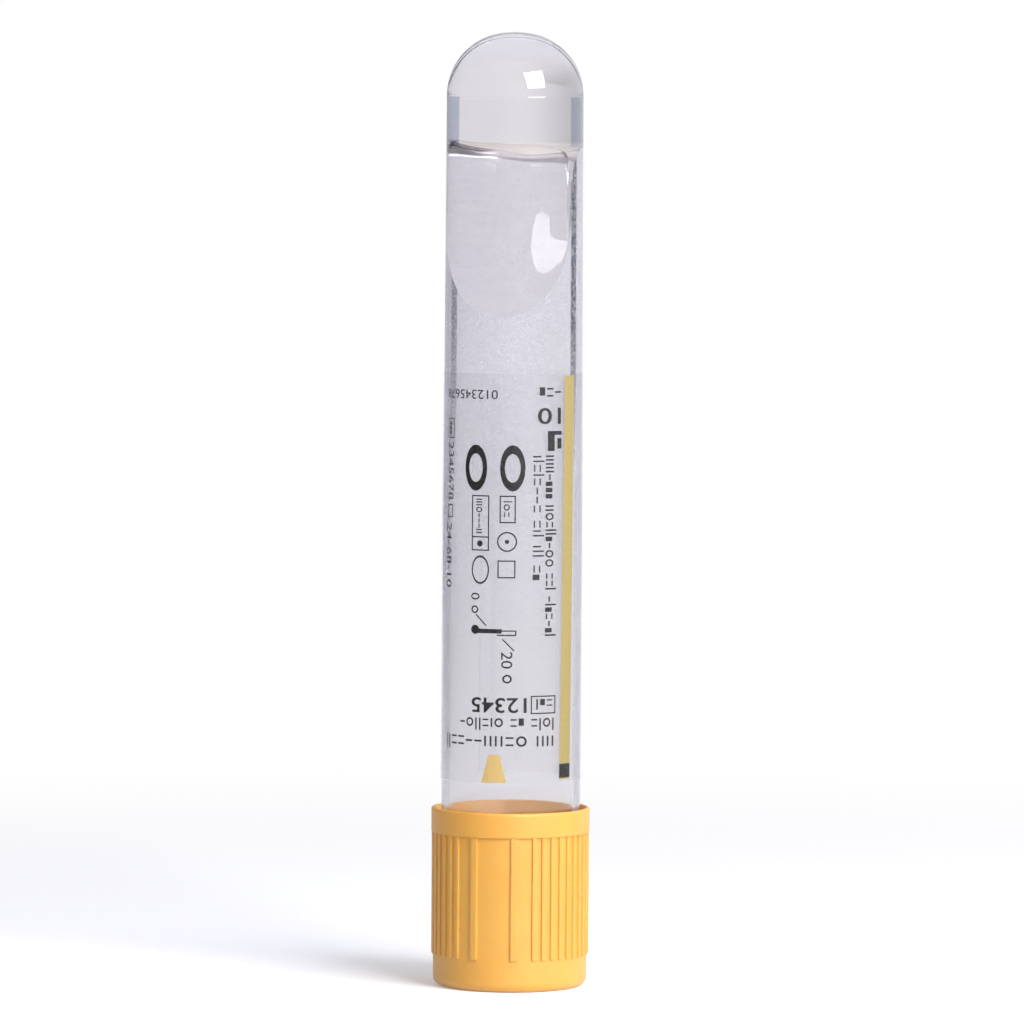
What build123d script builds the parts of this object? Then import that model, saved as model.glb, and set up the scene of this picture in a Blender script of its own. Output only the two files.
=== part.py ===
from build123d import *
import math
import os

os.makedirs("parts", exist_ok=True)

# A 16 x 100 mm serum gel blood tube standing upside down on its push-on closure.
# Frame: origin on the standing face, on the tube's axis, +Z towards the domed end.

# tube
tube_length = 100.0
tube_od = 16.0
shoulder_od = 15.7
straight_length = 40.0
tube_wall = 0.8
crown_radius = 11.0
knuckle_radius = 7.2
rim_round = 0.25

# separator gel
gel_depth = 13.5
gel_ceiling_round = 1.0
# hollow under the gel, as (depth below the gel's level, offset, thickness of the tongue)
tongue_sections = (
    (0.0, 1.45, 1.7),
    (5.3, 1.35, 1.27),
    (9.7, 1.35, 1.06),
    (13.8, 1.45, 0.75),
    (16.8, 1.6, 0.4),
    (19.2, 1.8, 0.0),
    (21.1, 1.9, -0.22),
)
tongue_side_deg = 256.0

# label film
label_bottom = 14.2
label_height = 46.9
label_film = 0.08
label_wrap = 300.0

# stopper
rim_seat_z = 9.8
flange_height = 3.6
flange_inset = 0.2
plug_length = 8.0
plug_wall = 3.35
ring_rise = 0.23
ring_count = 3
ring_height = 1.3
plug_lead = 1.2
septum_thickness = 4.0
head_height = 3.4
needle_well_radius = 2.4
needle_well_depth = 2.0
stopper_edge = 0.4

# shield
shield_height = 20.64
skirt_wall = 0.47
collar_wall = 0.735
collar_height = 2.84
collar_undercut = 0.08
skirt_draft_deg = 0.03
end_round = 1.1
end_plate = 1.2
mouth_flare = 0.32
mouth_lead = 2.2
sleeve_inset = 2.5
sleeve_wall = 0.8
ledge_reach = 1.6
ledge_thickness = 1.1
bore_round = 0.3
lip_round = 0.26
mouth_round = 0.12

# grip ribs
rib_rise = 0.2
rib_bottom = 3.7
rib_top = 17.8
rib_width_deg = 3.4
wide_rib_deg = 5.4
panel_deg = 25.2
panel_centre_deg = 257.7
panel_count = 3
first_rib_deg = 28.7
ribs_between = 9

# clearances
film_fit = 0.02
plug_fit = 0.02
seat_gap = 0.05
neck_fit = 0.1
head_gap = 0.3
skirt_gap = 0.4

# derived radii and levels
tube_radius = tube_od / 2
shoulder_radius = shoulder_od / 2
bore_radius = tube_radius - tube_wall
plug_radius = bore_radius - plug_fit
plug_root_radius = plug_radius - ring_rise
well_radius = plug_root_radius - plug_wall
flange_radius = tube_radius - flange_inset
skirt_bore = tube_radius + skirt_gap
skirt_foot_radius = skirt_bore + skirt_wall
collar_radius = skirt_bore + collar_wall
mouth_bore = skirt_bore + mouth_flare
sleeve_bore = tube_radius - sleeve_inset
ledge_bore = sleeve_bore - ledge_reach
head_radius = sleeve_bore - head_gap
neck_radius = ledge_bore - neck_fit
dome_height = crown_radius - math.sqrt(
    (crown_radius - knuckle_radius) ** 2 - (shoulder_radius - knuckle_radius) ** 2
)
shoulder_z = rim_seat_z + tube_length - dome_height
straight_z = rim_seat_z + straight_length
gel_z = rim_seat_z + tube_length - gel_depth
flange_top = rim_seat_z - seat_gap
flange_bottom = flange_top - flange_height
plug_top = flange_top + plug_length
sleeve_top = flange_bottom - seat_gap
ledge_bottom = sleeve_top - ledge_thickness
head_top = ledge_bottom - seat_gap
head_bottom = head_top - head_height


def turned(points, angle=360.0):
    """Solid of revolution about Z from (radius, height) corners."""
    outline = Polyline(*[(r, 0, z) for r, z in points], close=True)
    return revolve(make_face(outline), Axis.Z, angle)


def ring_edges(shape, radius, z):
    """Circular edges of the given radius at the given height."""
    found = shape.edges().filter_by(GeomType.CIRCLE)
    return found.filter_by(
        lambda e: abs(e.radius - radius) < 0.02 and abs(e.arc_center.Z - z) < 0.02
    )


def barrel_radius(z, inset):
    """Tube radius at a height, moved in from the outer wall by inset."""
    share = (z - straight_z) / (shoulder_z - straight_z)
    return tube_radius - inset - (tube_radius - shoulder_radius) * min(max(share, 0), 1)


def tube_body(z_low, inset):
    """Solid inside the tube's outer wall moved in by inset, from z_low to the dome."""
    knuckle = knuckle_radius - inset
    crown = crown_radius - inset
    knuckle_x = shoulder_radius - knuckle_radius
    crown_z = rim_seat_z + tube_length - crown_radius
    join = math.atan2(shoulder_z - crown_z, knuckle_x)
    half = join / 2
    edge_x = knuckle_x + knuckle * math.cos(join)
    edge_z = shoulder_z + knuckle * math.sin(join)
    mid = (math.pi / 2 + join) / 2
    top_z = crown_z + crown
    side = [(barrel_radius(z_low, inset), 0, z_low)]
    if z_low < straight_z:
        side.append((tube_radius - inset, 0, straight_z))
    side.append((shoulder_radius - inset, 0, shoulder_z))
    wall = Polyline(*side)
    knuckle_arc = ThreePointArc(
        side[-1],
        (knuckle_x + knuckle * math.cos(half), 0, shoulder_z + knuckle * math.sin(half)),
        (edge_x, 0, edge_z),
    )
    crown_arc = ThreePointArc(
        (edge_x, 0, edge_z),
        (crown * math.cos(mid), 0, crown_z + crown * math.sin(mid)),
        (0, 0, top_z),
    )
    back = Polyline((0, 0, top_z), (0, 0, z_low), side[0])
    return revolve(make_face(Wire([*wall.edges(), knuckle_arc, crown_arc, *back.edges()])), Axis.Z)


def make_tube():
    """Moulded tube with a rounded rim at its open end."""
    body = tube_body(rim_seat_z, 0) - tube_body(rim_seat_z, tube_wall)
    rims = ring_edges(body, tube_radius, rim_seat_z) + ring_edges(body, bore_radius, rim_seat_z)
    return fillet(rims, rim_round)


def gel_hollow():
    """Air space under the gel: eccentric rounds that leave a tongue on one wall."""
    inner = bore_radius - film_fit
    away = math.radians(tongue_side_deg + 180)
    rounds = []
    for depth, offset, thickness in tongue_sections:
        centre = (offset * math.cos(away), offset * math.sin(away), gel_z - depth)
        rounds.append(Pos(*centre) * Circle(inner - thickness + offset))
    hollow = loft(rounds)
    return fillet(hollow.edges().group_by(Axis.Z)[-1], gel_ceiling_round)


def make_gel():
    """Separator gel that fills the dome and has wetted the wall on one side."""
    low = gel_z - tongue_sections[-1][0]
    return tube_body(low, tube_wall + film_fit) - gel_hollow()


def make_label():
    """Clear film wrapped round the barrel, open at the back."""
    low = rim_seat_z + label_bottom
    high = low + label_height
    levels = [low, straight_z, high]
    inside = [(barrel_radius(z, -film_fit), z) for z in levels]
    outside = [(barrel_radius(z, -film_fit - label_film), z) for z in reversed(levels)]
    return turned(inside + outside, label_wrap).rotate(Axis.Z, 270 - label_wrap / 2)


def plug_points():
    """Corners of the plug with its sealing rings, from the flange up."""
    pitch = (plug_length - plug_lead) / ring_count
    slope = (pitch - ring_height) / 3
    points = [(plug_root_radius, flange_top)]
    for i in range(ring_count):
        start = flange_top + i * pitch + slope
        points += [
            (plug_root_radius, start),
            (plug_radius, start + slope),
            (plug_radius, start + slope + ring_height),
            (plug_root_radius, start + 2 * slope + ring_height),
        ]
    return points + [(plug_root_radius - plug_lead / 2, plug_top)]


def make_stopper():
    """Rubber stopper: head locked under the ledge, flange, ringed plug and two wells."""
    well_floor = head_bottom + needle_well_depth + septum_thickness
    outline = [
        (0, head_bottom + needle_well_depth),
        (needle_well_radius, head_bottom + needle_well_depth),
        (needle_well_radius, head_bottom),
        (head_radius, head_bottom),
        (head_radius, head_top),
        (neck_radius, head_top),
        (neck_radius, flange_bottom),
        (flange_radius, flange_bottom),
        (flange_radius, flange_top),
        *plug_points(),
        (well_radius, plug_top),
        (well_radius, well_floor + well_radius * 0.3),
        (well_radius * 0.7, well_floor),
        (0, well_floor),
    ]
    body = turned(outline)
    eased = ring_edges(body, head_radius, head_bottom)
    eased += ring_edges(body, needle_well_radius, head_bottom)
    eased += ring_edges(body, flange_radius, flange_bottom)
    eased += ring_edges(body, flange_radius, flange_top)
    return chamfer(eased, stopper_edge)


def shield_shell():
    """Closure shell: skirt, end plate, inner sleeve and the ledge that holds the stopper."""
    collar_bottom = shield_height - collar_height
    root_top = collar_bottom + collar_undercut
    draft = math.tan(math.radians(skirt_draft_deg)) * root_top
    sleeve_outer = sleeve_bore + sleeve_wall
    outline = [
        (sleeve_bore, 0),
        (skirt_foot_radius, 0),
        (skirt_foot_radius + draft, root_top),
        (collar_radius, collar_bottom),
        (collar_radius, shield_height),
        (mouth_bore, shield_height),
        (skirt_bore, shield_height - mouth_lead),
        (skirt_bore, end_plate),
        (sleeve_outer, end_plate),
        (sleeve_outer, sleeve_top),
        (ledge_bore, sleeve_top),
        (ledge_bore, ledge_bottom),
        (sleeve_bore, ledge_bottom),
    ]
    shell = turned(outline)
    shell = fillet(ring_edges(shell, skirt_foot_radius, 0), end_round)
    shell = fillet(ring_edges(shell, sleeve_bore, 0), bore_round)
    shell = fillet(ring_edges(shell, collar_radius, shield_height), lip_round)
    return fillet(ring_edges(shell, mouth_bore, shield_height), mouth_round)


def grip_ribs():
    """Fine and wide ribs round the skirt, leaving plain panels."""
    spans = []
    sector = 360.0 / panel_count
    pitch = (sector - 2 * first_rib_deg - rib_width_deg) / (ribs_between - 1)
    for k in range(panel_count):
        centre = panel_centre_deg + k * sector
        spans.append((centre + panel_deg / 2, wide_rib_deg))
        spans.append((centre - panel_deg / 2 - wide_rib_deg, wide_rib_deg))
        spans += [(centre + first_rib_deg + i * pitch, rib_width_deg) for i in range(ribs_between)]
    root = skirt_bore + (skirt_foot_radius - skirt_bore) / 2
    draft = math.tan(math.radians(skirt_draft_deg))
    low = skirt_foot_radius + rib_rise + draft * rib_bottom
    high = skirt_foot_radius + rib_rise + draft * rib_top
    section = [(root, rib_bottom), (low, rib_bottom), (high, rib_top), (root, rib_top)]
    return [turned(section, width).rotate(Axis.Z, start) for start, width in spans]


def make_shield():
    """Yellow safety closure with its grip ribs."""
    return shield_shell().fuse(*grip_ribs())


nodes = {
    "tube": make_tube(),
    "separator_gel": make_gel(),
    "label_film": make_label(),
    "stopper": make_stopper(),
    "shield": make_shield(),
}
for name, shape in nodes.items():
    export_step(shape, f"parts/{name}.step")
    box = shape.bounding_box()
    print(name, "volume mm3", round(shape.volume, 2), "z", round(box.min.Z, 3), round(box.max.Z, 3))
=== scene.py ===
import math
import random

import bpy
from mathutils import Matrix, Vector


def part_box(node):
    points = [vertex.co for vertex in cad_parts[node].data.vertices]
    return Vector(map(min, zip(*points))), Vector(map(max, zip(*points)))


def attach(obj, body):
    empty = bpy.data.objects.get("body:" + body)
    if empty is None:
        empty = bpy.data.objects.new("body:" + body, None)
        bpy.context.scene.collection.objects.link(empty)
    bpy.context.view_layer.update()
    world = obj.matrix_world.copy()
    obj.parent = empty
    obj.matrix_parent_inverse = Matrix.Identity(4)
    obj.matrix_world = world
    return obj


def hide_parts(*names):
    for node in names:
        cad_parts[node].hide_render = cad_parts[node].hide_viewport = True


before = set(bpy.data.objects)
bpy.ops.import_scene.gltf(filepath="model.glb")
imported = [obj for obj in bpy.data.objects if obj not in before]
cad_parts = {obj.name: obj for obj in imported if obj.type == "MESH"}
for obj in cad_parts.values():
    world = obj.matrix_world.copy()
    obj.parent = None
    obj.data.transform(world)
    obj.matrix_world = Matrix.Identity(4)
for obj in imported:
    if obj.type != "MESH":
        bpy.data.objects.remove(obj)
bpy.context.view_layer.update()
mm = 0.001
print("frame loaded")


def deselectAll():
    if bpy.context.object and bpy.context.object.mode != "OBJECT":
        bpy.ops.object.mode_set(mode="OBJECT")
    bpy.ops.object.select_all(action="DESELECT")


def makeActive(piece):
    deselectAll()
    piece.select_set(True)
    bpy.context.view_layer.objects.active = piece


def hexColour(code):
    # sRGB hex to the linear values that shaders take
    channels = [int(code[i:i + 2], 16) / 255 for i in (1, 3, 5)]
    return (*[c / 12.92 if c <= 0.04045 else ((c + 0.055) / 1.055) ** 2.4 for c in channels], 1.0)


def addNode(tree, kind, settings=None, links=None):
    # sockets and settings go by name, or by number where names repeat (Mix has its numbers in 2 and 3, and its
    # colours in 6 and 7 with output 2); a link is a node, for its first output, or a pair of node and output
    made = tree.nodes.new("ShaderNode" + kind)
    for name, value in (settings or {}).items():
        if isinstance(name, int) or name in made.inputs:
            made.inputs[name].default_value = value
        else:
            setattr(made, name, value)
    for name, source in (links or {}).items():
        node, output = source if isinstance(source, tuple) else (source, 0)
        tree.links.new(node.outputs[output], made.inputs[name])
    return made


# settings that many nodes share
smooth = {"interpolation_type": "SMOOTHSTEP"}
product, larger = {"operation": "MULTIPLY"}, {"operation": "MAXIMUM"}
colours = {"data_type": "RGBA"}


def newMaterial(name):
    material = bpy.data.materials.new(name)
    material.use_nodes = True
    material.node_tree.nodes.clear()
    return material, material.node_tree


def letLampsThrough(tree, surface, shadow):
    # clear plastic throws a pale shadow, so lamps see it as tinted and open
    path = addNode(tree, "LightPath")
    tint = addNode(tree, "BsdfTransparent", {"Color": hexColour(shadow)})
    return addNode(tree, "MixShader", None, {0: (path, "Is Shadow Ray"), 1: surface, 2: tint})


def spinPiece(name, points, steps, angle=2 * math.pi):
    # points are (radius, height) in mm: one edge is extruded per point, then all turn about Z
    deselectAll()
    bpy.ops.mesh.primitive_plane_add(size=mm, location=(0, 0, 0))
    piece = bpy.context.object
    piece.name = piece.data.name = name
    bpy.ops.object.mode_set(mode="EDIT")
    bpy.ops.mesh.select_all(action="SELECT")
    bpy.ops.mesh.merge(type="CENTER")
    r, z = points[0]
    bpy.ops.transform.translate(value=(r * mm, 0, z * mm))
    for nextR, nextZ in points[1:]:
        step = ((nextR - r) * mm, 0, (nextZ - z) * mm)
        bpy.ops.mesh.extrude_region_move(TRANSFORM_OT_translate={"value": step})
        r, z = nextR, nextZ
    bpy.ops.mesh.select_all(action="SELECT")
    bpy.ops.mesh.spin(steps=steps, angle=angle, center=(0, 0, 0), axis=(0, 0, 1))
    bpy.ops.mesh.select_all(action="SELECT")
    bpy.ops.mesh.remove_doubles(threshold=1e-6)
    bpy.ops.mesh.normals_make_consistent(inside=False)
    bpy.ops.object.mode_set(mode="OBJECT")
    return piece


def finishPiece(piece, body, sharp=50, replaced=None):
    makeActive(piece)
    bpy.ops.object.shade_smooth_by_angle(angle=math.radians(sharp))
    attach(piece, body)
    if replaced:
        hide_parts(replaced)
    deselectAll()


# the moulded tube, in mm; the ends come from the frame
low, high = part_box("tube")
tube = {
    "outer": high.x / mm, "rim": low.z / mm, "top": high.z / mm,
    "straight": low.z / mm + 40.0,   # above this the wall tapers
    "shoulder": 7.85, "wall": 0.8, "rimRound": 0.25,
    "crown": 11.0, "knuckle": 7.2,   # the two radii of the dome
    "crownSteps": 7, "knuckleSteps": 14,
    "bead": 0.04, "beadDown": 0.3,   # parting line of the mould, and how far it is below the shoulder
    "shoulderRings": (0.1, 0.2, 0.3, 0.4, 0.5, 0.7), "boreRing": 0.4,      # also below the shoulder
    "rimRings": (0.5, 1.0),          # above the rim
    "steps": 192, "ior": 1.575,
}
tube["wallRings"] = (90, 70, tube["straight"], 30)
tube["crownZ"] = tube["top"] - tube["crown"]
tube["knuckleR"] = tube["shoulder"] - tube["knuckle"]
tube["shoulderZ"] = tube["crownZ"] + math.sqrt((tube["crown"] - tube["knuckle"]) ** 2 - tube["knuckleR"] ** 2)
tube["join"] = math.atan2(tube["shoulderZ"] - tube["crownZ"], tube["knuckleR"])


def barrelRadius(z, inset=0.0):
    share = (z - tube["straight"]) / (tube["shoulderZ"] - tube["straight"])
    return tube["outer"] - inset - (tube["outer"] - tube["shoulder"]) * min(max(share, 0), 1)


def domePoints(inset):
    crown, knuckle, join = tube["crown"] - inset, tube["knuckle"] - inset, tube["join"]
    points = [(0.0, tube["crownZ"] + crown)]
    for i in range(1, tube["crownSteps"]):
        a = math.pi / 2 + (join - math.pi / 2) * i / tube["crownSteps"]
        points.append((crown * math.cos(a), tube["crownZ"] + crown * math.sin(a)))
    for i in range(tube["knuckleSteps"] + 1):
        a = join * (1 - i / tube["knuckleSteps"])
        points.append((tube["knuckleR"] + knuckle * math.cos(a), tube["shoulderZ"] + knuckle * math.sin(a)))
    return points


# the gel's free face, in mm and degrees; fromFront is 0 at the front and positive to the right
gel = {
    "level": 96.9, "tilt": -0.065,       # height on the axis, and its rise per mm to the right
    "tongue": 19.6, "side": -15.0,       # how far it has run down the wall, and where
    "halfWidth": 86.0, "bluntness": 2.0, "lift": 0.15,
    "skirt": 3.6, "skirtFrom": 74.5, "skirtFade": 6.0, "skirtLead": 2, "skirtBlend": 3,    # low skirt beside the tongue
    "curl": 0.45, "curlAt": 100, "curlWidth": 14,              # where the skirt's edge rises again
    "edge": 0.05, "edgeRun": 0.2,        # blunt edge of the tongue
    "foot": 0.38, "footRun": 0.8, "thick": 2.76, "run": 16.4, "bend": 1.3,     # how the tongue thickens upwards
    "sideBend": 3.5, "sideReach": 80.0,                        # and how it thins to its sides
    "slice": 0.1, "slices": 220,         # heights at which the tongue's width is measured
    "skirtThick": 0.7, "skirtRun": 1.5, "skirtStart": 8,
    "corner": 2.3,                       # round between tongue and ceiling
    "leastDrop": 0.12, "ripple": 0.2,
    "bondedFrom": 1.2,                   # above the level, all faces cling to the bore
    "fit": 0.02,
    "rows": 36, "middleRows": 8, "wallRings": (99, 98), "drawnAt": 60.0,
}


def tongueDrop(fromFront):
    away = abs((fromFront - gel["side"] + 180) % 360 - 180)
    share = min(away / gel["halfWidth"], 1)
    main = gel["tongue"] * (1 - share ** gel["bluntness"]) ** (1 / gel["bluntness"])
    skirt = gel["skirt"] * math.exp(-max(away - gel["skirtFrom"], 0) / gel["skirtFade"])
    blend = min(max((away - gel["skirtFrom"] + gel["skirtLead"]) / gel["skirtBlend"], 0), 1)
    curl = gel["curl"] * math.exp(-((away - gel["curlAt"]) / gel["curlWidth"]) ** 2)
    return main * (1 - blend) + skirt * blend - curl + gel["lift"]


def gelLevel(x):
    return gel["level"] + gel["tilt"] * x


def contactHeight(x, y):
    return gelLevel(x) - tongueDrop(math.degrees(math.atan2(x, -y)))


def edgeHeight(fromFront):
    bore, angle = tube["shoulder"] - tube["wall"], math.radians(fromFront)
    return contactHeight(bore * math.sin(angle), -bore * math.cos(angle))


def tongueSides(z, step=0.5):
    # how far the gel reaches left and right of the tongue's middle at this height, in degrees
    reaches = []
    for side in (-1, 1):
        away, last = 0.0, edgeHeight(gel["side"])
        while away < gel["sideReach"]:
            level = edgeHeight(gel["side"] + side * (away + step))
            if level > z:
                away += step * (z - last) / (level - last)
                break
            away, last = away + step, level
        reaches.append(away)
    return reaches


tongueTip = edgeHeight(gel["side"])
tongueReach = [tongueSides(tongueTip + gel["slice"] * i) for i in range(gel["slices"])]


def tongueThickness(fromMiddle, z, up):
    place = min(max((z - tongueTip) / gel["slice"], 0), gel["slices"] - 1.1)
    side = 1 if fromMiddle > 0 else 0
    below, above = tongueReach[int(place)][side], tongueReach[int(place) + 1][side]
    reach = below + (above - below) * (place % 1)
    if abs(fromMiddle) >= reach:
        return 0.0
    rise = max(z - tongueTip, 0) / gel["run"]
    foot = gel["foot"] * (1 - math.exp(-up / gel["footRun"]))
    full = foot + gel["thick"] * (1 - math.exp(-rise ** gel["bend"]))
    return full * (1 - (abs(fromMiddle) / reach) ** gel["sideBend"])


def petWall():
    # clear PET, injection moulded: a polished wall with a very slight waviness
    material, tree = newMaterial("moulded clear PET")
    place = addNode(tree, "TexCoord")
    wave = addNode(tree, "TexNoise", {"Scale": 1 / (6 * mm), "Detail": 1.0}, {"Vector": (place, "Object")})
    bump = addNode(tree, "Bump", {"Strength": 0.04, "Distance": 0.1 * mm}, {"Height": wave})
    side = addNode(tree, "NewGeometry")
    # the far wall is seen softly, as through a thick lens
    rough = addNode(tree, "MapRange", {"To Min": 0.015, "To Max": 0.06}, {"Value": (side, "Backfacing")})
    # seen edge on there is more plastic to look through
    facing = addNode(tree, "LayerWeight", {"Blend": 0.5})
    deep = addNode(tree, "MapRange", smooth | {"From Min": 0.42, "From Max": 0.75}, {"Value": (facing, "Facing")})
    tint = addNode(tree, "Mix", colours | {6: hexColour("#F4F3F5"), 7: hexColour("#EFEEF2")}, {0: deep})
    clear = addNode(tree, "BsdfPrincipled", {"IOR": tube["ior"], "Transmission Weight": 1.0},
                    {"Base Color": (tint, 2), "Roughness": rough, "Normal": bump})
    addNode(tree, "OutputMaterial", None, {"Surface": letLampsThrough(tree, clear, "#F2F2F6")})
    return material


# the dried silica on the bore, the clear wall where gel wets it, and the painted shade and light beside the edges:
# sizes and heights in mm, and edges by how far the wall turns away, from 0 to 1
silica = {
    "cell": 0.24, "grainWeight": 0.17, "sparseBelow": 48, "denseAbove": 76,
    "cloud": 0.9, "hazeFrom": 30, "hazeTo": 78, "haze": 0.22,
    "edge": (0.20, 0.25), "edgeHaze": 0.62,
    "aside": 5, "leftLightShare": 0.62,                 # painted light: the haze and the dark line are fainter on the left
    # painted shade: a broken dark line beside each edge, standing in for the refraction's dark edge
    "shadeLineIn": (0.182, 0.194), "shadeLineOut": (0.224, 0.236), "shadeLineFrom": 58, "shadeLineTo": 74, "shadeBreakSize": 0.35,
    # painted shade: blue-grey bands down each side of the plug
    "band": (0.180, 0.187), "shadeBandFrom": 96.7, "shadeBandTo": 102.3,
    # painted light: a pale rim round the dome
    "rim": (0.212, 0.236), "paleRimFrom": 103.0,
    # painted light: a warm pale glint band at the gel's level
    "meniscusGlint": 0.16, "glintRise": (94.4, 96.4), "glintFall": (96.2, 97.6),
}


def petBore():
    # the bore: PET dusted with dried silica, which gives a lilac haze with white grains; a broken dark line near each
    # edge is painted shade that stands in for the wall's refraction; where gel wets it, the wall goes clear, with
    # painted bands and a painted rim
    material, tree = newMaterial("PET bore with dried silica and painted edge shade")
    place = addNode(tree, "TexCoord")
    onPiece = {"Vector": (place, "Object")}
    axes = addNode(tree, "SeparateXYZ", None, onPiece)
    height = {"Value": (axes, "Z")}
    layer = addNode(tree, "LayerWeight", {"Blend": 0.5})
    facing = {"Value": (layer, "Facing")}
    near = (addNode(tree, "NewGeometry"), "Backfacing")      # 1 on the near wall, seen from within the plastic
    # grains of 0.1 to 0.2 mm, thicker above the label
    cells = addNode(tree, "TexVoronoi", {"Scale": 1 / (silica["cell"] * mm)}, onPiece)
    grain = addNode(tree, "MapRange", {"From Min": 0.18, "From Max": 0.40, "To Min": 1.0, "To Max": 0.0},
                    {"Value": (cells, "Distance")})
    lot = addNode(tree, "SeparateColor", None, {0: (cells, "Color")})
    fewer = addNode(tree, "MapRange", {"From Min": silica["sparseBelow"] * mm, "From Max": silica["denseAbove"] * mm,
                                       "To Min": 0.75, "To Max": 0.5}, height)
    kept = addNode(tree, "Math", {"operation": "GREATER_THAN"}, {0: lot, 1: fewer})
    speck = addNode(tree, "Math", product, {0: grain, 1: kept})
    # haze: thicker high up and at the edges, and painted fainter on the left as painted light
    cloud = addNode(tree, "TexNoise", {"Scale": 1 / (silica["cloud"] * mm), "Detail": 4.0, "Roughness": 0.7}, onPiece)
    dust = addNode(tree, "MapRange", {"From Min": silica["hazeFrom"] * mm, "From Max": silica["hazeTo"] * mm,
                                      "To Min": 0.02, "To Max": silica["haze"]}, height)
    patchy = addNode(tree, "MapRange", {"From Min": 0.3, "From Max": 0.7, "To Min": 0.7, "To Max": 1.3},
                     {"Value": cloud})
    dusty = addNode(tree, "Math", product, {0: dust, 1: patchy})
    edge = addNode(tree, "MapRange", smooth | {"From Min": silica["edge"][0], "From Max": silica["edge"][1],
                                               "To Min": 0.0, "To Max": silica["edgeHaze"]}, facing)
    # painted light: the left side's edge haze and dark line are made fainter
    paintedSideLight = addNode(tree, "MapRange", {"From Min": -silica["aside"] * mm, "From Max": silica["aside"] * mm,
                                          "To Min": silica["leftLightShare"], "To Max": 1.0}, {"Value": (axes, "X")})
    uneven = addNode(tree, "Math", product, {0: edge, 1: paintedSideLight})
    nearEdge = addNode(tree, "Math", product, {0: uneven, 1: near})
    haze = addNode(tree, "Math", {"operation": "ADD"}, {0: dusty, 1: nearEdge})
    withGrain = addNode(tree, "Math", {"operation": "MULTIPLY_ADD", 1: silica["grainWeight"], "use_clamp": True},
                        {0: speck, 2: haze})
    colour = addNode(tree, "Mix", colours | {6: hexColour("#BDBCC7"), 7: hexColour("#F2F1F6")}, {0: speck})
    front = addNode(tree, "BsdfDiffuse", None, {"Color": (colour, 2)})
    back = addNode(tree, "BsdfTranslucent", None, {"Color": (colour, 2)})
    powder = addNode(tree, "MixShader", {0: 0.5}, {1: front, 2: back})
    clear = addNode(tree, "BsdfPrincipled", {"Base Color": hexColour("#EDECF0"), "IOR": tube["ior"],
                                             "Roughness": 0.06, "Transmission Weight": 1.0})
    dusted = addNode(tree, "MixShader", None, {0: withGrain, 1: clear, 2: powder})
    # painted shade: a broken dark line where the wall turns from view, standing in for the dark edge that refraction
    # gives, on the near wall only
    inner = addNode(tree, "MapRange", smooth | {"From Min": silica["shadeLineIn"][0], "From Max": silica["shadeLineIn"][1]},
                    facing)
    outer = addNode(tree, "MapRange", smooth | {"From Min": silica["shadeLineOut"][0], "From Max": silica["shadeLineOut"][1],
                                                "To Min": 1.0, "To Max": 0.0}, facing)
    line = addNode(tree, "Math", product, {0: inner, 1: outer})
    fades = addNode(tree, "MapRange", {"From Min": silica["shadeLineFrom"] * mm, "From Max": silica["shadeLineTo"] * mm}, height)
    heavier = addNode(tree, "Math", product, {0: fades, 1: paintedSideLight})
    faded = addNode(tree, "Math", product, {0: line, 1: heavier})
    shadeBreaks = addNode(tree, "TexNoise", {"Scale": 1 / (silica["shadeBreakSize"] * mm), "Detail": 2.0}, onPiece)
    broken = addNode(tree, "MapRange", {"From Min": 0.40, "From Max": 0.54, "To Min": 0.5}, {"Value": shadeBreaks})
    ragged = addNode(tree, "Math", product, {0: faded, 1: broken})
    nearLine = addNode(tree, "Math", product, {0: ragged, 1: near})
    clean = addNode(tree, "MapRange", {"From Min": 0.2, "From Max": 0.8, "To Min": 1.0, "To Max": 0.1},
                    {"Value": speck})
    darkness = addNode(tree, "Math", product, {0: nearLine, 1: clean})
    # painted shade: the colour of that dark line
    dark = addNode(tree, "BsdfTransparent", {"Color": hexColour("#3F4862")})
    dryWall = addNode(tree, "MixShader", None, {0: darkness, 1: dusted, 2: dark})
    # wetted wall: painted shade, a blue-grey band down each side of the plug, and painted light, a pale rim round the
    # dome, both set by how far the wall turns from view
    bandEdge = addNode(tree, "MapRange", smooth | {"From Min": silica["band"][0], "From Max": silica["band"][1]},
                       facing)
    bandLow = addNode(tree, "Math", {"operation": "GREATER_THAN", 1: silica["shadeBandFrom"] * mm}, height)
    bandHigh = addNode(tree, "Math", {"operation": "LESS_THAN", 1: silica["shadeBandTo"] * mm}, height)
    bandSpan = addNode(tree, "Math", product, {0: bandLow, 1: bandHigh})
    band = addNode(tree, "Math", product, {0: bandEdge, 1: bandSpan})
    nearBand = addNode(tree, "Math", product, {0: band, 1: near})
    wet = addNode(tree, "Mix", colours | {6: hexColour("#FBFBFE"), 7: hexColour("#F9F9FA")}, {0: bandLow})
    plug = addNode(tree, "Mix", colours | {7: hexColour("#F7F7F8")}, {0: bandSpan, 6: (wet, 2)})
    # painted shade: the bands' blue-grey colour
    banded = addNode(tree, "Mix", colours | {7: hexColour("#CAD1DF")}, {0: nearBand, 6: (plug, 2)})
    rimEdge = addNode(tree, "MapRange", smooth | {"From Min": silica["rim"][0], "From Max": silica["rim"][1]}, facing)
    rimHigh = addNode(tree, "Math", {"operation": "GREATER_THAN", 1: silica["paleRimFrom"] * mm}, height)
    rim = addNode(tree, "Math", product, {0: rimEdge, 1: rimHigh})
    # painted light: the pale rim's colour
    rimmed = addNode(tree, "Mix", colours | {7: hexColour("#FDFCFD")}, {0: rim, 6: (banded, 2)})
    clearWet = addNode(tree, "BsdfTransparent", None, {"Color": (rimmed, 2)})
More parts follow.
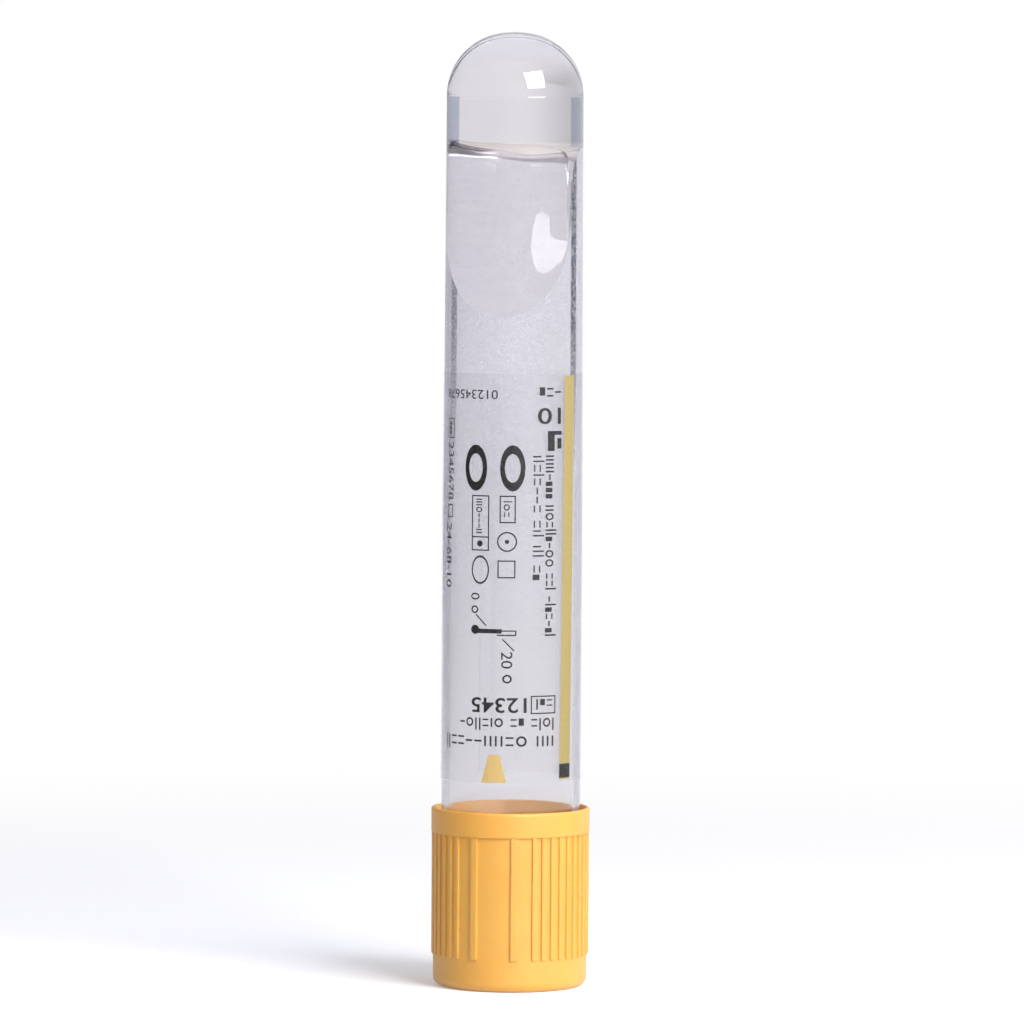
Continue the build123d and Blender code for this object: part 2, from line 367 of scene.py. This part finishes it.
    # painted light: a warm pale band where the gel's level meets the wall, standing in for the glints there
    (riseFrom, riseTo), (fallFrom, fallTo) = silica["glintRise"], silica["glintFall"]
    rise = addNode(tree, "MapRange", smooth | {"From Min": riseFrom * mm, "From Max": riseTo * mm,
                                               "To Min": 0.0, "To Max": silica["meniscusGlint"]}, height)
    fall = addNode(tree, "MapRange", smooth | {"From Min": fallFrom * mm, "From Max": fallTo * mm,
                                               "To Min": 1.0, "To Max": 0.0}, height)
    meniscusGlint = addNode(tree, "Math", product, {0: rise, 1: fall})
    # painted light: the glint's warm colour
    warm = addNode(tree, "BsdfDiffuse", {"Color": hexColour("#E6DDD5")})
    wetWall = addNode(tree, "MixShader", None, {0: meniscusGlint, 1: clearWet, 2: warm})
    reach = addNode(tree, "Attribute", {"attribute_name": "gelReach"})
    wetted = addNode(tree, "Math", {"operation": "GREATER_THAN", 1: 0.0}, {0: (reach, "Fac")})
    wall = addNode(tree, "MixShader", None, {0: wetted, 1: dryWall, 2: wetWall})
    addNode(tree, "OutputMaterial", None, {"Surface": letLampsThrough(tree, wall, "#E8E8EE")})
    return material


def makeTube():
    wall, rim, edge = tube["wall"], tube["rim"], tube["rimRound"]
    shoulderZ, bore = tube["shoulderZ"], tube["outer"] - tube["wall"]
    points = domePoints(0.0)
    # close rings beside the bead and the rim keep the long walls' shading straight
    for down in tube["shoulderRings"]:
        out = tube["bead"] if down == tube["beadDown"] else 0
        points.append((barrelRadius(shoulderZ - down) + out, shoulderZ - down))
    rimRings = [rim + up for up in tube["rimRings"]]
    points += [(barrelRadius(z), z) for z in (*tube["wallRings"], *rimRings[::-1])]
    turn = [math.pi / 2 * i / 4 for i in range(5)]
    points += [(tube["outer"] - edge + edge * math.cos(a), rim + edge - edge * math.sin(a)) for a in turn]
    points += [(bore + edge - edge * math.sin(a), rim + edge - edge * math.cos(a)) for a in turn]
    inner = (*rimRings, *tube["wallRings"][::-1], shoulderZ - tube["boreRing"])
    points += [(barrelRadius(z, wall), z) for z in inner]
    points += domePoints(wall)[::-1]
    piece = spinPiece("tubeWall", points, tube["steps"])
    piece.data.materials.append(petWall())
    piece.data.materials.append(petBore())
    for face in piece.data.polygons:
        r, z = math.hypot(face.center.x, face.center.y) / mm, face.center.z / mm
        inCrown = math.hypot(r, z - tube["crownZ"]) < tube["crown"] - wall / 2
        inKnuckle = math.hypot(r - tube["knuckleR"], z - shoulderZ) < tube["knuckle"] - wall / 2
        inside = inCrown and inKnuckle if z > shoulderZ else r < barrelRadius(z, wall / 2)
        face.material_index = 1 if inside else 0
    # how far above the gel's edge each point lies, for the bore's material
    reach = piece.data.attributes.new("gelReach", "FLOAT", "POINT")
    for vertex, item in zip(piece.data.vertices, reach.data):
        x, y, z = vertex.co / mm
        item.value = z - contactHeight(x, y)
    finishPiece(piece, "tube_body", replaced="tube")


makeTube()
print("tube done")


def gelSkin():
    # clear silicone-like gel, poured and run: a soft wet face with a few dust grains in it
    material, tree = newMaterial("clear separator gel")
    place = addNode(tree, "TexCoord")
    wave = addNode(tree, "TexNoise", {"Scale": 1 / (5 * mm), "Detail": 1.0}, {"Vector": (place, "Object")})
    bump = addNode(tree, "Bump", {"Strength": 0.03, "Distance": 0.15 * mm}, {"Height": wave})
    through = addNode(tree, "BsdfRefraction", {"Color": hexColour("#F6F5F5"), "IOR": 1.48, "Roughness": 0.2},
                      {"Normal": bump})
    gloss = addNode(tree, "BsdfGlossy", {"Color": hexColour("#F0EBE6"), "Roughness": 0.03}, {"Normal": bump})
    fresnel = addNode(tree, "Fresnel", {"IOR": 1.48}, {"Normal": bump})
    clear = addNode(tree, "MixShader", None, {0: fresnel, 1: through, 2: gloss})
    cells = addNode(tree, "TexVoronoi", {"Scale": 1 / (0.55 * mm)}, {"Vector": (place, "Object")})
    spot = addNode(tree, "MapRange", {"From Min": 0.10, "From Max": 0.18, "To Min": 0.6, "To Max": 0.0},
                   {"Value": (cells, "Distance")})
    lot = addNode(tree, "SeparateColor", None, {0: (cells, "Color")})
    kept = addNode(tree, "Math", {"operation": "GREATER_THAN", 1: 0.5}, {0: lot})
    share = addNode(tree, "Math", product, {0: spot, 1: kept})
    dust = addNode(tree, "BsdfDiffuse", {"Color": hexColour("#A4A3AC")})
    dusted = addNode(tree, "MixShader", None, {0: share, 1: clear, 2: dust})
    addNode(tree, "OutputMaterial", None, {"Surface": letLampsThrough(tree, dusted, "#EEEEF0")})
    return material


def gelBond():
    # where gel clings to the bore there is no face to see
    material, tree = newMaterial("gel bonded to the bore")
    bond = addNode(tree, "BsdfTransparent", {"Color": hexColour("#FCFBFC")})
    addNode(tree, "OutputMaterial", None, {"Surface": bond})
    return material


def makeGel():
    inset = tube["wall"] + gel["fit"]
    wall = domePoints(inset)
    wallRadius = wall[-1][0]
    rows, middle = gel["rows"], gel["middleRows"]
    total = rows + middle
    flat = gel["drawnAt"]      # the free face is drawn as a flat disc at this height, then shaped row by row
    points = wall + [(wallRadius, z) for z in gel["wallRings"]]
    points += [(wallRadius * (1 - i / total), flat) for i in range(total + 1)]
    piece = spinPiece("gelPlug", points, tube["steps"])
    for vertex in piece.data.vertices:
        x, y, z = vertex.co / mm
        if z > flat + 1:
            continue
        r = math.hypot(x, y)
        angle = math.atan2(y, x)
        row = round((1 - r / wallRadius) * total)
        share = 0.5 - 0.5 * math.cos(math.pi * min(row / rows, 1))
        wallX, wallY = wallRadius * math.cos(angle), wallRadius * math.sin(angle)
        drop = tongueDrop(math.degrees(math.atan2(wallX, -wallY)))
        drop = math.copysign(max(abs(drop), gel["leastDrop"]), drop)
        up = share * abs(drop)                      # distance from the edge, along the wall
        run = min(gel["corner"], abs(drop))
        corner = max(up - (abs(drop) - run), 0) / run
        height = gelLevel(wallX) - drop * (1 - share)
        fromMiddle = math.remainder(math.degrees(math.atan2(wallX, -wallY)) - gel["side"], 360)
        tongue = tongueThickness(fromMiddle, height, up)
        beside = min(max((abs(fromMiddle) - gel["skirtFrom"]) / gel["skirtStart"] + 1, 0), 1)
        skirt = beside * gel["skirtThick"] * (1 - math.exp(-up / gel["skirtRun"]))
        inwards = gel["edge"] * (1 - math.exp(-up / gel["edgeRun"])) + max(tongue, skirt)
        inwards += run * (1 - math.sqrt(max(1 - corner ** 2, 0)))
        radius = barrelRadius(height, inset) - inwards
        if row > rows:
            radius *= (total - row) / middle
        x, y = radius * math.cos(angle), radius * math.sin(angle)
        ripple = gel["ripple"] * math.sin(0.9 * x + 0.6) * math.cos(0.6 * y) * min(max((share - 0.9) * 10, 0), 1)
        level = gelLevel(x) - gelLevel(wallX) if row > rows else 0.0
        vertex.co = Vector((x, y, height + ripple + level)) * mm
    piece.data.materials.append(gelSkin())
    piece.data.materials.append(gelBond())
    piece.data.update()
    for face in piece.data.polygons:
        outwards = Vector((face.center.x, face.center.y, 0)).normalized()
        bonded = face.center.z / mm > gel["level"] + gel["bondedFrom"] or face.normal.dot(outwards) > 0.5
        face.material_index = 1 if bonded else 0
    finishPiece(piece, "tube_body", 60, "separator_gel")


makeGel()
print("gel done")

# the clear label film, in mm and degrees
low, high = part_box("label_film")
film = {"low": low.z / mm, "high": high.z / mm, "gap": 0.02, "thick": 0.08, "wrap": 300.0, "steps": 160}


def filmClear():
    # printed clear polypropylene, cast: only a thin soft gloss shows
    material, tree = newMaterial("cast clear polypropylene film")
    fresnel = addNode(tree, "Fresnel", {"IOR": 1.45})
    share = addNode(tree, "Math", {"operation": "MINIMUM", 1: 0.04}, {0: fresnel})
    gloss = addNode(tree, "BsdfGlossy", {"Roughness": 0.4})
    through = addNode(tree, "BsdfTransparent", {"Color": hexColour("#FEFEFE")})
    mix = addNode(tree, "MixShader", None, {0: share, 1: through, 2: gloss})
    addNode(tree, "OutputMaterial", None, {"Surface": letLampsThrough(tree, mix, "#F6F6FA")})
    return material


def filmEdge():
    # the film's die-cut edge scatters light as a fine pale line
    material, tree = newMaterial("cut edge of the film")
    edge = addNode(tree, "BsdfPrincipled", {"Base Color": hexColour("#E6E4EE"), "Roughness": 0.4})
    addNode(tree, "OutputMaterial", None, {"Surface": edge})
    return material


def makeFilm():
    levels = [film["low"], tube["straight"], film["high"]]
    inside = [(barrelRadius(z, -film["gap"]), z) for z in levels]
    outside = [(barrelRadius(z, -film["gap"] - film["thick"]), z) for z in levels[::-1]]
    piece = spinPiece("labelFilm", inside + outside + inside[:1], film["steps"], math.radians(film["wrap"]))
    piece.data.transform(Matrix.Rotation(math.radians(270 - film["wrap"] / 2), 4, "Z"))
    makeActive(piece)
    bpy.ops.object.mode_set(mode="EDIT")
    bpy.ops.mesh.select_mode(type="EDGE")
    bpy.ops.mesh.select_all(action="DESELECT")
    bpy.ops.mesh.select_non_manifold()
    bpy.ops.mesh.fill()
    bpy.ops.mesh.select_all(action="SELECT")
    bpy.ops.mesh.normals_make_consistent(inside=False)
    bpy.ops.object.mode_set(mode="OBJECT")
    piece.data.materials.append(filmClear())
    piece.data.materials.append(filmEdge())
    for face in piece.data.polygons:
        outwards = Vector((face.center.x, face.center.y, 0)).normalized()
        face.material_index = 0 if abs(face.normal.dot(outwards)) > 0.7 else 1
    finishPiece(piece, "tube_body", 30, "label_film")


makeFilm()
print("film done")

# printed marks, in mm: u runs round the film from the front, positive to the right, and z is height
marks = {
    "black": "#181617", "yellow": "#C9B77B", "amber": "#F0D896", "white": "#E6E4E8",
    "through": 0.45,                     # how much light the pale inks let through
    "lift": 0.006, "thick": 0.008, "line": 0.14,
    "hole": 0.62, "fineHole": 0.86,      # inside of a ring, as a share of its width
    "seed": 4,
}
# the colour stripe leans a little: left and right edge, at its bottom and top
stripe = {"low": 24.0, "height": 46.6, "left": (6.0, 6.55), "right": (7.8, 8.3)}


def ink(name, code, through=0.0):
    # flexographic ink on film: thin and matt, a little uneven; pale inks let some light through
    material, tree = newMaterial(name)
    place = addNode(tree, "TexCoord")
    grain = addNode(tree, "TexNoise", {"Scale": 1 / (0.3 * mm), "Detail": 3.0}, {"Vector": (place, "Object")})
    uneven = addNode(tree, "MapRange", {"From Min": 0.3, "From Max": 0.7, "To Min": -0.02, "To Max": 0.02},
                     {"Value": grain})
    shade = addNode(tree, "BrightContrast", {"Color": hexColour(code)}, {"Bright": uneven})
    solid = addNode(tree, "BsdfPrincipled", {"Roughness": 0.5}, {"Base Color": shade})
    lit = addNode(tree, "BsdfTranslucent", None, {"Color": shade})
    mix = addNode(tree, "MixShader", {0: through}, {1: solid, 2: lit})
    addNode(tree, "OutputMaterial", None, {"Surface": mix})
    return material


def flatShape(name):
    # shapes one unit across, drawn flat; a copy of one is stretched for each stroke
    deselectAll()
    if name == "bar":
        bpy.ops.mesh.primitive_grid_add(x_subdivisions=4, y_subdivisions=2, size=1)
    elif name == "disc":
        bpy.ops.mesh.primitive_circle_add(vertices=20, radius=0.5, fill_type="TRIFAN")
    else:
        bpy.ops.mesh.primitive_circle_add(vertices=20, radius=0.5)
        bpy.ops.object.mode_set(mode="EDIT")
        bpy.ops.mesh.select_all(action="SELECT")
        bpy.ops.mesh.extrude_region_move()
        inner = marks["fineHole" if name == "fineRing" else "hole"]
        bpy.ops.transform.resize(value=(inner, inner, 1))
        bpy.ops.mesh.select_all(action="SELECT")
        bpy.ops.mesh.normals_make_consistent(inside=False)
        bpy.ops.object.mode_set(mode="OBJECT")
    bpy.context.object.name = name
    return bpy.context.object


shapes = {name: flatShape(name) for name in ("bar", "disc", "ring", "fineRing")}
drawn = []


def rowPlace(u, z, turn):
    # a row starts at u, z and reads along its own x, turned by that many degrees
    return Matrix.Translation((u, z, 0)) @ Matrix.Rotation(math.radians(turn), 4, "Z")


def stamp(name, place, x, y, width, height, turn=0.0):
    copy = shapes[name].copy()
    copy.data = shapes[name].data.copy()
    bpy.context.collection.objects.link(copy)
    size = Matrix.Diagonal((width, height, 1, 1))
    copy.data.transform(place @ rowPlace(x, y, turn) @ size)
    drawn.append(copy)


# rows of plain shapes stand where print would be: (shape, x, y, width, height) in shares of the row's height
strokes = {
    "tall": [("bar", 0.10, 0.50, 0.13, 1.0)],
    "short": [("bar", 0.10, 0.36, 0.13, 0.72)],
    "pair": [("bar", 0.10, 0.36, 0.13, 0.72), ("bar", 0.42, 0.36, 0.13, 0.72)],
    "round": [("ring", 0.32, 0.36, 0.60, 0.74)],
    "dash": [("bar", 0.24, 0.36, 0.44, 0.13)],
    "dashes": [("bar", 0.24, 0.62, 0.44, 0.12), ("bar", 0.24, 0.12, 0.44, 0.12)],
    "block": [("bar", 0.20, 0.30, 0.36, 0.60)],
}
advance = {"tall": 0.30, "short": 0.30, "pair": 0.62, "round": 0.74, "dash": 0.58, "dashes": 0.58, "block": 0.50}
gap = 0.4      # between two groups, in the same shares
dice = random.Random(marks["seed"])


def shapeRow(place, length, height, groups, weight=1.0):
    # groups is a list of shape counts; the row is stretched to its length
    row = []
    for count in groups:
        row += [dice.choice(sorted(strokes)) for i in range(count)] + [None]
    row.pop()
    natural = sum(advance.get(kind, gap) for kind in row) * height
    wide = length / natural
    x = 0.0
    for kind in row:
        for shape, sx, sy, w, h in strokes.get(kind, []):
            if shape == "bar" and w < 0.2:
                w = w * weight / wide
            stamp(shape, place, (x + sx * wide) * height, sy * height, w * height * wide, h * height)
        x += advance.get(kind, gap) * wide


def numberRow(place, length, height, digits, bold=0.0):
    deselectAll()
    bpy.ops.object.text_add()
    piece = bpy.context.object
    piece.data.body = digits
    piece.data.resolution_u = 3
    piece.data.offset = bold
    bpy.ops.object.convert(target="MESH")
    xs, ys = [v.co.x for v in piece.data.vertices], [v.co.y for v in piece.data.vertices]
    size = Matrix.Diagonal((length / (max(xs) - min(xs)), height / (max(ys) - min(ys)), 1, 1))
    piece.data.transform(place @ size @ Matrix.Translation((-min(xs), -min(ys), 0)))
    drawn.append(piece)


def outlineBox(left, bottom, right, top, line=marks["line"]):
    level = Matrix.Identity(4)
    for z in (bottom, top):
        stamp("bar", level, (left + right) / 2, z, right - left + line, line)
    for u in (left, right):
        stamp("bar", level, u, (bottom + top) / 2, line, top - bottom + line)


def wrapMarks(pieces, name, material, lift):
    # joins flat pieces, bends them round the film and gives them the ink's thickness
    deselectAll()
    for piece in pieces:
        piece.select_set(True)
    bpy.context.view_layer.objects.active = pieces[0]
    if len(pieces) > 1:
        bpy.ops.object.join()
    whole = bpy.context.object
    whole.name = whole.data.name = name
    for vertex in whole.data.vertices:
        u, z, up = vertex.co
        angle = math.radians(-90) + u / tube["outer"]
        radius = barrelRadius(z, -film["gap"] - film["thick"] - lift)
        vertex.co = Vector((radius * math.cos(angle), radius * math.sin(angle), z)) * mm
    makeActive(whole)
    bpy.ops.object.modifier_add(type="SOLIDIFY")
    whole.modifiers[-1].thickness = marks["thick"] * mm
    whole.modifiers[-1].offset = 1.0
    bpy.ops.object.modifier_apply(modifier=whole.modifiers[-1].name)
    whole.data.materials.clear()
    whole.data.materials.append(material)
    finishPiece(whole, "tube_body", 30)


def patch(corners):
    # a four-cornered field of colour: bottom left, bottom right, top left, top right
    deselectAll()
    bpy.ops.mesh.primitive_grid_add(x_subdivisions=6, y_subdivisions=12, size=1)
    for vertex in bpy.context.object.data.vertices:
        s, t = vertex.co.x + 0.5, vertex.co.y + 0.5
        bottom = Vector(corners[0]).lerp(Vector(corners[1]), s)
        top = Vector(corners[2]).lerp(Vector(corners[3]), s)
        vertex.co = (*bottom.lerp(top, t), 0)
    return bpy.context.object


def stripeSpan(lowZ, highZ):
    corners = []
    for z in (lowZ, highZ):
        share = (z - stripe["low"]) / stripe["height"]
        for bottom, top in (stripe["left"], stripe["right"]):
            corners.append((bottom + (top - bottom) * share, z))
    return corners


def makeMarks():
    through, lift = marks["through"], marks["lift"]
    yellow = ink("yellow ink", marks["yellow"], through)
    white = ink("white ink", marks["white"], through)
    amber = ink("amber ink", marks["amber"], through)
    wrapMarks([patch(stripeSpan(26.1, 70.6)), patch(stripeSpan(24.35, 24.55))], "inkStripe", yellow, lift)
    # a fill arrow with a white edge
    edge = patch([(-3.48, 24.06), (-0.45, 24.06), (-2.6, 27.36), (-1.31, 27.36)])
    wrapMarks([edge], "inkArrowEdge", white, lift)
    arrow = patch([(-3.42, 24.12), (-0.51, 24.12), (-2.56, 27.31), (-1.35, 27.31)])
    wrapMarks([arrow], "inkArrow", amber, lift * 3)
    drawn.append(patch(stripeSpan(24.5, 26.15)))     # the dark block near the stripe's foot

    down, upsideDown = -90.0, 180.0
    flat, line = Matrix.Identity(4), marks["line"]
    # top: a number row, a large number and a solid block
    numberRow(rowPlace(-1.75, 69.0, upsideDown), 7.6, 1.05, "012345678")
    numberRow(rowPlace(5.95, 67.0, upsideDown), 3.1, 1.9, "10", 0.01)
    shapeRow(rowPlace(5.95, 69.35, upsideDown), 3.1, 1.6, [3], 1.5)
    stamp("bar", flat, 5.1, 64.1, 1.95, 0.45)
    stamp("bar", flat, 4.6, 63.0, 0.9, 1.9)
    stamp("bar", flat, 5.75, 62.9, 0.6, 1.2)
    # two bold ovals
    stamp("ring", flat, -4.4, 60.1, 2.9, 5.3)
    stamp("ring", flat, 0.0, 60.1, 2.9, 5.3)
    # two rows reading down
    shapeRow(rowPlace(3.9, 61.6, down), 20.9, 1.45, [7, 9, 3, 7])
    shapeRow(rowPlace(2.35, 61.6, down), 14.5, 1.35, [8, 3, 3, 2])
    # boxes and small signs
    outlineBox(-1.4, 53.9, 0.3, 56.9)
    shapeRow(rowPlace(-1.0, 56.4, down), 2.0, 0.95, [3])
    outlineBox(-4.8, 52.2, -2.75, 56.9)
    outlineBox(-4.8, 50.7, -2.75, 52.2)
    shapeRow(rowPlace(-4.3, 56.6, down), 4.1, 1.05, [7])
    stamp("disc", flat, -3.8, 51.45, 0.7, 0.7)
    stamp("fineRing", flat, -0.6, 51.7, 2.3, 2.3)
    stamp("disc", flat, -0.6, 51.7, 0.5, 0.5)
    outlineBox(-1.6, 47.6, 0.3, 49.5)
    stamp("fineRing", flat, -3.75, 48.45, 2.2, 3.3)
    # a thermometer between two plain numbers
    numberRow(rowPlace(-4.9, 45.8, down), 0.8, 1.1, "0")
    stamp("ring", flat, -4.4, 43.9, 0.9, 0.9)
    stamp("disc", flat, -4.35, 41.6, 1.05, 1.05)
    stamp("bar", flat, -2.6, 41.45, 2.9, 0.5)
    stamp("bar", flat, -0.6, 41.5, 2.2, line)
    stamp("bar", flat, -0.6, 41.0, 2.2, line)
    stamp("bar", flat, 0.45, 41.25, line, 0.6)
    stamp("bar", flat, -3.6, 42.7, line, 1.8, 45)
    stamp("bar", flat, -0.4, 39.9, line, 1.9, 45)
    numberRow(rowPlace(-1.2, 39.1, down), 1.9, 1.3, "20")
    stamp("ring", flat, -0.5, 36.0, 1.1, 1.0)
    # bottom rows
    outlineBox(2.3, 32.05, 5.3, 34.0)
    shapeRow(rowPlace(4.95, 33.7, upsideDown), 2.3, 1.2, [3], 1.3)
    numberRow(rowPlace(1.75, 33.85, upsideDown), 6.5, 1.75, "12345", 0.012)
    shapeRow(rowPlace(5.2, 31.5, upsideDown), 11.8, 1.4, [4, 2, 7])
    shapeRow(rowPlace(5.2, 29.45, upsideDown), 14.6, 1.65, [2, 10])
    # the row down the left
    outlineBox(-9.1, 63.4, -7.9, 65.6, 0.12)
    shapeRow(rowPlace(-8.85, 65.2, down), 1.5, 0.75, [3])
    numberRow(rowPlace(-9.1, 62.9, down), 6.6, 1.15, "2345678")
    outlineBox(-9.1, 54.3, -8.1, 55.7, 0.12)
    numberRow(rowPlace(-9.4, 53.6, down), 7.4, 1.15, "24-68-10")
    wrapMarks(drawn, "inkMarks", ink("black ink", marks["black"]), marks["lift"])
    for shape in shapes.values():
        bpy.data.objects.remove(shape)


makeMarks()
print("marks done")


def shieldPlastic():
    # polyethylene, injection moulded: satin and a little waxy, with light glowing in its edges
    material, tree = newMaterial("moulded yellow polyethylene")
    place = addNode(tree, "TexCoord")
    grain = addNode(tree, "TexNoise", {"Scale": 1 / (0.25 * mm), "Detail": 3.0}, {"Vector": (place, "Object")})
    cloud = addNode(tree, "TexNoise", {"Scale": 1 / (5 * mm), "Detail": 2.0}, {"Vector": (place, "Object")})
    # moulded edges are never quite sharp
    soft = addNode(tree, "Bevel", {"samples": 4, "Radius": 0.25 * mm})
    bump = addNode(tree, "Bump", {"Strength": 0.15, "Distance": 0.02 * mm}, {"Height": grain, "Normal": soft})
    share = addNode(tree, "MapRange", {"From Min": 0.35, "From Max": 0.65}, {"Value": cloud})
    colour = addNode(tree, "Mix", colours | {6: hexColour("#FFC046"), 7: hexColour("#FFC44E")}, {0: share})
    body = addNode(tree, "BsdfPrincipled",
                   {"Roughness": 0.5, "IOR": 1.51, "Specular IOR Level": 0.7,
                    "Coat Weight": 1.0, "Coat Roughness": 0.5, "Coat IOR": 1.6,
                    "Subsurface Weight": 1.0, "Subsurface Radius": (0.35, 0.25, 0.12), "Subsurface Scale": 1 * mm},
                   {"Base Color": (colour, 2), "Normal": bump})
    # the skirt is thin enough to let some light through
    glow = addNode(tree, "BsdfTranslucent", {"Color": hexColour("#FDB850")})
    mix = addNode(tree, "MixShader", {0: 0.2}, {1: body, 2: glow})
    addNode(tree, "OutputMaterial", None, {"Surface": mix})
    return material


def stopperRubber():
    # butyl rubber, moulded and lubricated: dull and warm grey
    material, tree = newMaterial("moulded butyl rubber")
    place = addNode(tree, "TexCoord")
    grain = addNode(tree, "TexNoise", {"Scale": 1 / (0.4 * mm), "Detail": 4.0}, {"Vector": (place, "Object")})
    bump = addNode(tree, "Bump", {"Strength": 0.3, "Distance": 0.03 * mm}, {"Height": grain})
    colour = addNode(tree, "Mix", colours | {6: hexColour("#8F867C"), 7: hexColour("#A0978C")}, {0: grain})
    body = addNode(tree, "BsdfPrincipled", {"Roughness": 0.6}, {"Base Color": (colour, 2), "Normal": bump})
    addNode(tree, "OutputMaterial", None, {"Surface": body})
    return material


for name, material in (("shield", shieldPlastic()), ("stopper", stopperRubber())):
    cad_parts[name].data.materials.clear()
    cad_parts[name].data.materials.append(material)
print("closure done")

# bench, lamps, world and camera; lengths in metres, angles in degrees from the front
studio = {
    "bench": 1.2, "benchColour": "#E8E8EA", "benchLift": 0.30,
    "whiteFrom": 0.10, "whiteTo": 0.28,            # the bench fades to white between these distances
    "key": {"turn": 37, "rise": 31.5, "away": 0.60, "size": (0.32, 0.31), "power": 4.6, "aim": 0.055},
    # the room is dimmer to the left: what lights the object, what is seen through it and what it mirrors
    "ambient": {"From Min": -0.5, "From Max": 0.9, "To Min": 0.27, "To Max": 0.72},
    "seen": {"From Min": -0.9, "From Max": 0.0, "To Min": 0.60, "To Max": 1.0},
    "mirrored": {"From Min": -0.9, "From Max": 0.5, "To Min": 0.15, "To Max": 1.0},
    "seenBench": {"From Min": -0.35, "From Max": 0.05, "To Min": 0.60, "To Max": 1.0},
}


def seenRay(tree):
    # 1 for rays that see the background: direct, mirrored or through clear plastic
    path = addNode(tree, "LightPath")
    either = addNode(tree, "Math", larger, {0: (path, "Is Glossy Ray"), 1: (path, "Is Transmission Ray")})
    return addNode(tree, "Math", larger, {0: (path, "Is Camera Ray"), 1: either})


def makeBench():
    deselectAll()
    bpy.ops.mesh.primitive_plane_add(size=studio["bench"], location=(0, 0, 0))
    bench = bpy.context.object
    bench.name = bench.data.name = "bench"
    # seamless white paper, rolled: plain and matt
    material, tree = newMaterial("white studio sweep")
    place = addNode(tree, "TexCoord")
    away = addNode(tree, "VectorMath", {"operation": "LENGTH"}, {0: (place, "Object")})
    far = addNode(tree, "MapRange", smooth | {"From Min": studio["whiteFrom"], "From Max": studio["whiteTo"]},
                  {"Value": (away, "Value")})
    seen = seenRay(tree)
    paper = addNode(tree, "BsdfDiffuse", {"Color": hexColour(studio["benchColour"])})
    lift = addNode(tree, "Math", product | {1: studio["benchLift"]}, {0: seen})
    glow = addNode(tree, "Emission", None, {"Strength": lift})
    near = addNode(tree, "AddShader", None, {0: paper, 1: glow})
    # through the plastic its left side looks dimmer, as the room does
    path = addNode(tree, "LightPath")
    across = addNode(tree, "SeparateXYZ", None, {0: (place, "Object")})
    dimmer = addNode(tree, "MapRange", smooth | studio["seenBench"], {"Value": across})
    level = addNode(tree, "Mix", {3: 1.0}, {0: (path, "Is Camera Ray"), 2: dimmer})
    white = addNode(tree, "Emission", None, {"Strength": level})
    distant = addNode(tree, "MixShader", None, {0: seen, 1: paper, 2: white})
    mix = addNode(tree, "MixShader", None, {0: far, 1: near, 2: distant})
    addNode(tree, "OutputMaterial", None, {"Surface": mix})
    bench.data.materials.append(material)


def makeLamp(name, lamp):
    turn, rise = math.radians(lamp["turn"]), math.radians(lamp["rise"])
    towards = Vector((math.sin(turn) * math.cos(rise), -math.cos(turn) * math.cos(rise), math.sin(rise)))
    deselectAll()
    bpy.ops.object.light_add(type="AREA", location=Vector((0, 0, lamp["aim"])) + towards * lamp["away"])
    made = bpy.context.object
    made.name = name
    made.rotation_euler = (-towards).to_track_quat("-Z", "Y").to_euler()
    made.data.shape = "RECTANGLE"
    made.data.size, made.data.size_y = lamp["size"]
    made.data.energy = lamp["power"]


def makeWorld():
    world = bpy.data.worlds.new("studio")
    bpy.context.scene.world = world
    world.use_nodes = True
    tree = world.node_tree
    tree.nodes.clear()
    path = addNode(tree, "LightPath")
    place = addNode(tree, "TexCoord")
    axis = addNode(tree, "SeparateXYZ", None, {0: (place, "Generated")})
    dim, seen, mirrored = [addNode(tree, "MapRange", smooth | studio[name], {"Value": axis})
                           for name in ("ambient", "seen", "mirrored")]
    bounced = addNode(tree, "Math", larger, {0: (path, "Is Glossy Ray"), 1: (path, "Is Transmission Ray")})
    light = addNode(tree, "Background", {"Color": hexColour("#F6F7FF")}, {"Strength": dim})
    strength = addNode(tree, "Mix", None, {0: (path, "Is Transmission Ray"), 2: mirrored, 3: seen})
    around = addNode(tree, "Background", {"Color": (1, 1, 1, 1)}, {"Strength": strength})
    white = addNode(tree, "Background", {"Color": (1, 1, 1, 1), "Strength": 1.0})
    indirect = addNode(tree, "MixShader", None, {0: bounced, 1: light, 2: around})
    mix = addNode(tree, "MixShader", None, {0: (path, "Is Camera Ray"), 1: indirect, 2: white})
    addNode(tree, "OutputWorld", None, {"Surface": mix})


# the camera stands well back and a little above the tube's top, tilted down and rolled a touch
view = {"side": -0.06 * mm, "height": 102.3 * mm, "back": 0.838, "aim": 54.66 * mm, "lens": 256.3, "roll": 0.375}


def makeCamera():
    bpy.ops.object.camera_add(location=(view["side"], -view["back"], view["height"]))
    camera = bpy.context.object
    look = Vector((view["side"], 0, view["aim"])) - camera.location
    camera.rotation_euler = look.to_track_quat("-Z", "Y").to_euler()
    camera.rotation_euler.rotate_axis("Z", math.radians(view["roll"]))
    camera.data.lens = view["lens"]
    camera.data.sensor_width = 36.0
    bpy.context.scene.camera = camera


makeBench()
makeLamp("keySoftbox", studio["key"])
makeWorld()
makeCamera()
bpy.context.scene.view_settings.view_transform = "Standard"
# light goes through many clear walls
cycles = bpy.context.scene.cycles
cycles.transparent_max_bounces = 32
cycles.max_bounces = cycles.transmission_bounces = 16
print("studio done")
